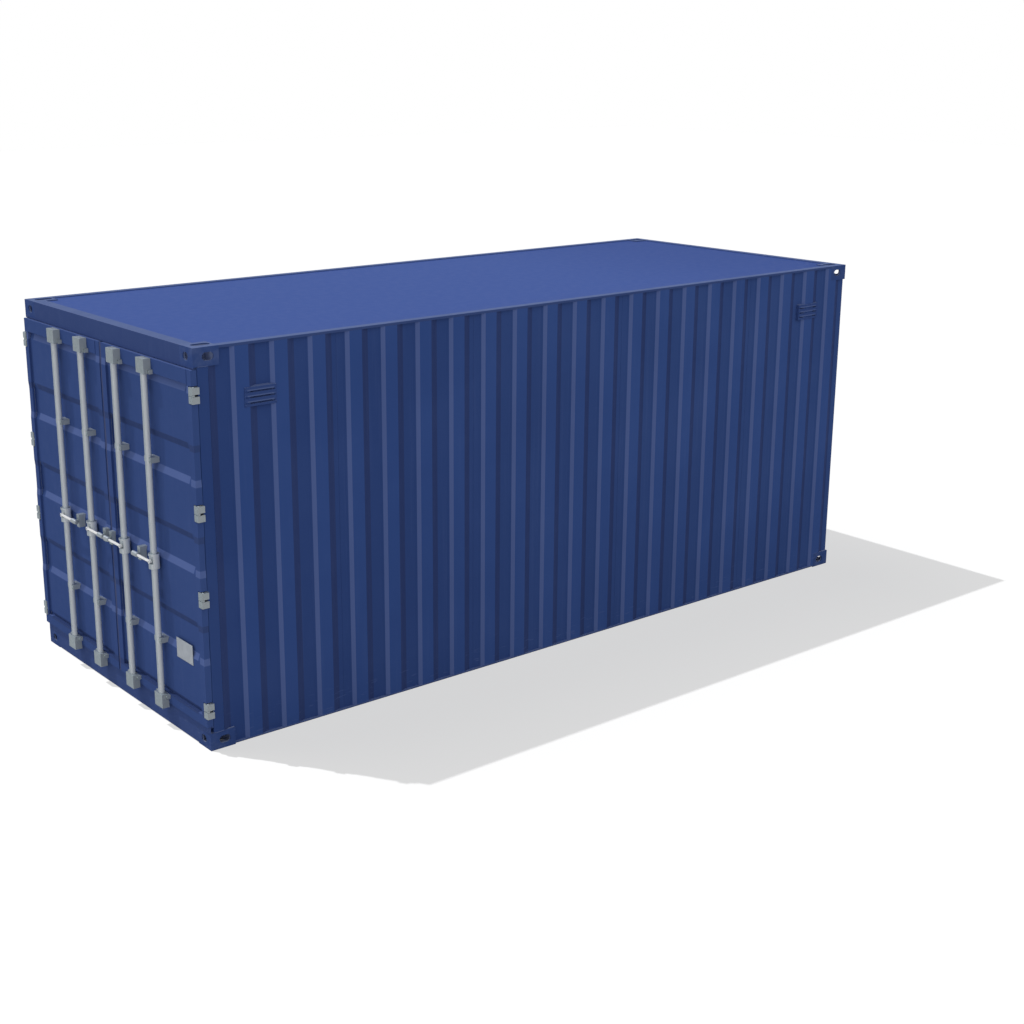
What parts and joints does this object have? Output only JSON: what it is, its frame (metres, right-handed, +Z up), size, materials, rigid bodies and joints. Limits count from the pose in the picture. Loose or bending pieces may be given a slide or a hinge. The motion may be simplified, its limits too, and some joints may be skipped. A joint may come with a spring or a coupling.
{
  "type": "shipping container",
  "caption": "Twenty-foot steel freight container with corrugated walls, two hinged end doors, lock bars with handles and corner castings.",
  "frame": {"origin": "centre of the four bottom corner castings lifting holes, on the level that the container stands on", "axes": "+Z up, +X along the length away from the doors, +Y to the left seen from outside facing the doors"},
  "size_m": [6.1505, 2.478, 2.591],
  "materials": {
    "painted_sheet": "semi-gloss enamel",
    "painted_frame": "semi-gloss enamel",
    "painted_casting": "semi-gloss enamel on cast steel",
    "painted_roof": "semi-gloss enamel",
    "painted_underframe": "matt underbody paint",
    "rubber_gasket": "matt",
    "plywood": "sealed plywood",
    "zinc_bar": "galvanised, matt",
    "zinc_handle": "galvanised, bright",
    "zinc_fittings": "galvanised, matt"
  },
  "bodies": {
    "root": {"cross_members": "painted_underframe", "door_header": "painted_frame", "door_left_bottom_casting": "painted_casting", "door_left_post": "painted_frame", "door_left_top_casting": "painted_casting", "door_right_bottom_casting": "painted_casting", "door_right_post": "painted_frame", "door_right_top_casting": "painted_casting", "door_sill": "painted_frame", "front_bottom_rail": "painted_frame", "front_left_bottom_casting": "painted_casting", "front_left_post": "painted_frame", "front_left_top_casting": "painted_casting", "front_right_bottom_casting": "painted_casting", "front_right_post": "painted_frame", "front_right_top_casting": "painted_casting", "front_top_rail": "painted_frame", "front_wall": "painted_sheet", "left_bottom_rail": "painted_frame", "left_hinge_lugs": "zinc_fittings", "left_side_wall": "painted_sheet", "left_top_rail": "painted_frame", "plywood_floor": "plywood", "right_bottom_rail": "painted_frame", "right_hinge_lugs": "zinc_fittings", "right_side_wall": "painted_sheet", "right_top_rail": "painted_frame", "roof_sheet": "painted_roof", "ventilators": "painted_sheet"},
    "right_door": {"right_door_fittings": "zinc_fittings", "right_door_frame": "painted_frame", "right_door_gasket": "rubber_gasket", "right_door_panel": "painted_sheet"},
    "right_inner_bar": {"right_inner_lock_bar": "zinc_bar"},
    "right_inner_handle": {"right_inner_handle": "zinc_handle"},
    "right_outer_bar": {"right_outer_lock_bar": "zinc_bar"},
    "right_outer_handle": {"right_outer_handle": "zinc_handle"},
    "left_door": {"left_door_fittings": "zinc_fittings", "left_door_frame": "painted_frame", "left_door_gasket": "rubber_gasket", "left_door_panel": "painted_sheet"},
    "left_inner_bar": {"left_inner_lock_bar": "zinc_bar"},
    "left_inner_handle": {"left_inner_handle": "zinc_handle"},
    "left_outer_bar": {"left_outer_lock_bar": "zinc_bar"},
    "left_outer_handle": {"left_outer_handle": "zinc_handle"}
  },
  "joints": [
    {"name": "right_door_hinge", "type": "hinge", "parent": "root", "child": "right_door", "pos_m": [-3.041, -1.229, 1.312], "axis": [0, 0, -1], "range_deg": [-260, 0]},
    {"name": "right_inner_bar_turn", "type": "hinge", "parent": "right_door", "child": "right_inner_bar", "pos_m": [-3.074, -0.247, 1.139], "axis": [0, 0, 1], "range_deg": [0, 90]},
    {"name": "right_inner_handle_lift", "type": "hinge", "parent": "right_inner_bar", "child": "right_inner_handle", "pos_m": [-3.1055, -0.247, 1.139], "axis": [1, 0, 0], "range_deg": [0, 30]},
    {"name": "right_outer_bar_turn", "type": "hinge", "parent": "right_door", "child": "right_outer_bar", "pos_m": [-3.074, -0.662, 1.139], "axis": [0, 0, 1], "range_deg": [0, 90]},
    {"name": "right_outer_handle_lift", "type": "hinge", "parent": "right_outer_bar", "child": "right_outer_handle", "pos_m": [-3.1055, -0.662, 1.139], "axis": [1, 0, 0], "range_deg": [0, 30]},
    {"name": "left_door_hinge", "type": "hinge", "parent": "root", "child": "left_door", "pos_m": [-3.041, 1.229, 1.312], "axis": [0, 0, 1], "range_deg": [-260, 0]},
    {"name": "left_inner_bar_turn", "type": "hinge", "parent": "left_door", "child": "left_inner_bar", "pos_m": [-3.074, 0.247, 1.139], "axis": [0, 0, -1], "range_deg": [0, 90]},
    {"name": "left_inner_handle_lift", "type": "hinge", "parent": "left_inner_bar", "child": "left_inner_handle", "pos_m": [-3.1055, 0.247, 1.139], "axis": [-1, 0, 0], "range_deg": [0, 30]},
    {"name": "left_outer_bar_turn", "type": "hinge", "parent": "left_door", "child": "left_outer_bar", "pos_m": [-3.074, 0.662, 1.139], "axis": [0, 0, -1], "range_deg": [0, 90]},
    {"name": "left_outer_handle_lift", "type": "hinge", "parent": "left_outer_bar", "child": "left_outer_handle", "pos_m": [-3.1055, 0.662, 1.139], "axis": [-1, 0, 0], "range_deg": [0, 30]}
  ]
}
